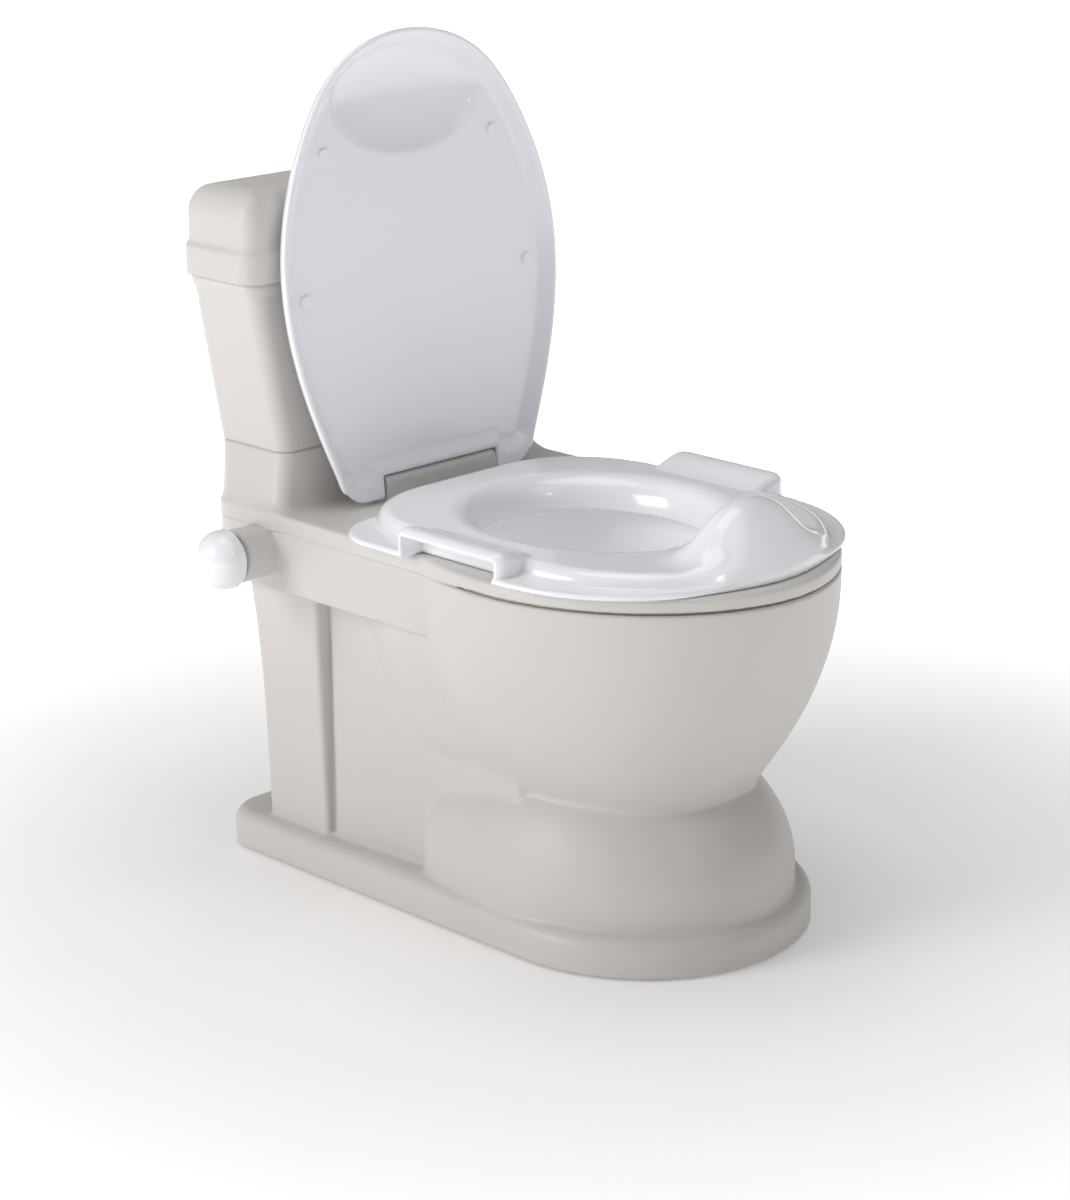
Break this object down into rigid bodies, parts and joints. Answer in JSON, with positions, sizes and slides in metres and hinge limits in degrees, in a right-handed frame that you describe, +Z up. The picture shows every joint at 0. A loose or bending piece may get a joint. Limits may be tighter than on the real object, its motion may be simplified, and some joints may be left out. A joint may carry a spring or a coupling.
{
  "type": "potty training chair",
  "caption": "Child's potty chair shaped like a small toilet, with a hinged lid, a lift-off topper with splash guard and handles, a removable pot, a tank and a push flush knob.",
  "frame": {"origin": "on the floor, in the plane of symmetry, at the centre of the middle floor pad", "axes": "+Z up; the bowl's nose points along -Y, the tank stands at +Y, the flush knob is on the -X side"},
  "size_m": [0.2712, 0.3689, 0.4837],
  "materials": {
    "body_ivory": "satin moulded polypropylene",
    "deck_ivory": "satin moulded polypropylene",
    "tank_ivory": "satin moulded polypropylene",
    "tank_lid_ivory": "satin moulded polypropylene",
    "lid_white": "glossy moulded polypropylene",
    "topper_white": "glossy moulded polypropylene",
    "pot_white": "glossy moulded polypropylene",
    "knob_white": "glossy moulded polypropylene",
    "zinc_screw": "zinc plated",
    "pin_steel": "ground",
    "spring_steel": "drawn wire",
    "contact_steel": "nickel plated",
    "cell_steel": "satin sleeve",
    "pad_rubber": "matte",
    "bumper_rubber": "matte, translucent white",
    "inner_plastic": "matte grey",
    "board_green": "solder mask",
    "switch_black": "matte",
    "speaker_black": "matte"
  },
  "bodies": {
    "base": {"lower_body": "body_ivory", "base_cover": "body_ivory", "base_screws": "zinc_screw", "floor_pads": "pad_rubber", "battery_tray": "inner_plastic", "battery_cells": "cell_steel", "battery_contacts": "contact_steel", "battery_door": "body_ivory", "door_screw": "zinc_screw", "seat_deck": "deck_ivory", "deck_screws": "zinc_screw", "hinge_pins": "pin_steel", "tank_body": "tank_ivory", "tank_screws": "zinc_screw", "flush_spring": "spring_steel", "sound_case": "inner_plastic", "circuit_board": "board_green", "flush_switch": "switch_black", "speaker_driver": "speaker_black"},
    "lid": {"toilet_lid": "lid_white", "lid_bumpers": "bumper_rubber"},
    "pot": {"potty_pot": "pot_white"},
    "topper": {"seat_topper": "topper_white"},
    "tank_cover": {"tank_lid": "tank_lid_ivory"},
    "flush": {"flush_knob": "knob_white", "stem_clip": "contact_steel"}
  },
  "joints": [
    {"name": "lid_hinge", "type": "hinge", "parent": "base", "child": "lid", "pos_m": [0, 0.082, 0.2315], "axis": [1, 0, 0], "range_deg": [0, 86]},
    {"name": "pot_lift", "type": "slide", "parent": "base", "child": "pot", "axis": [0, 0, 1], "range_m": [0, 0.2]},
    {"name": "topper_lift", "type": "slide", "parent": "pot", "child": "topper", "axis": [0, 0, 1], "range_m": [0, 0.1]},
    {"name": "tank_lid_lift", "type": "slide", "parent": "base", "child": "tank_cover", "axis": [0, 0.1045, 0.9945], "range_m": [0, 0.018]},
    {"name": "flush_press", "type": "slide", "parent": "base", "child": "flush", "axis": [1, 0, 0], "range_m": [0, 0.004], "stiffness_N_per_m": 400, "springref_m": -0.004, "deforming": ["flush_spring"]}
  ]
}
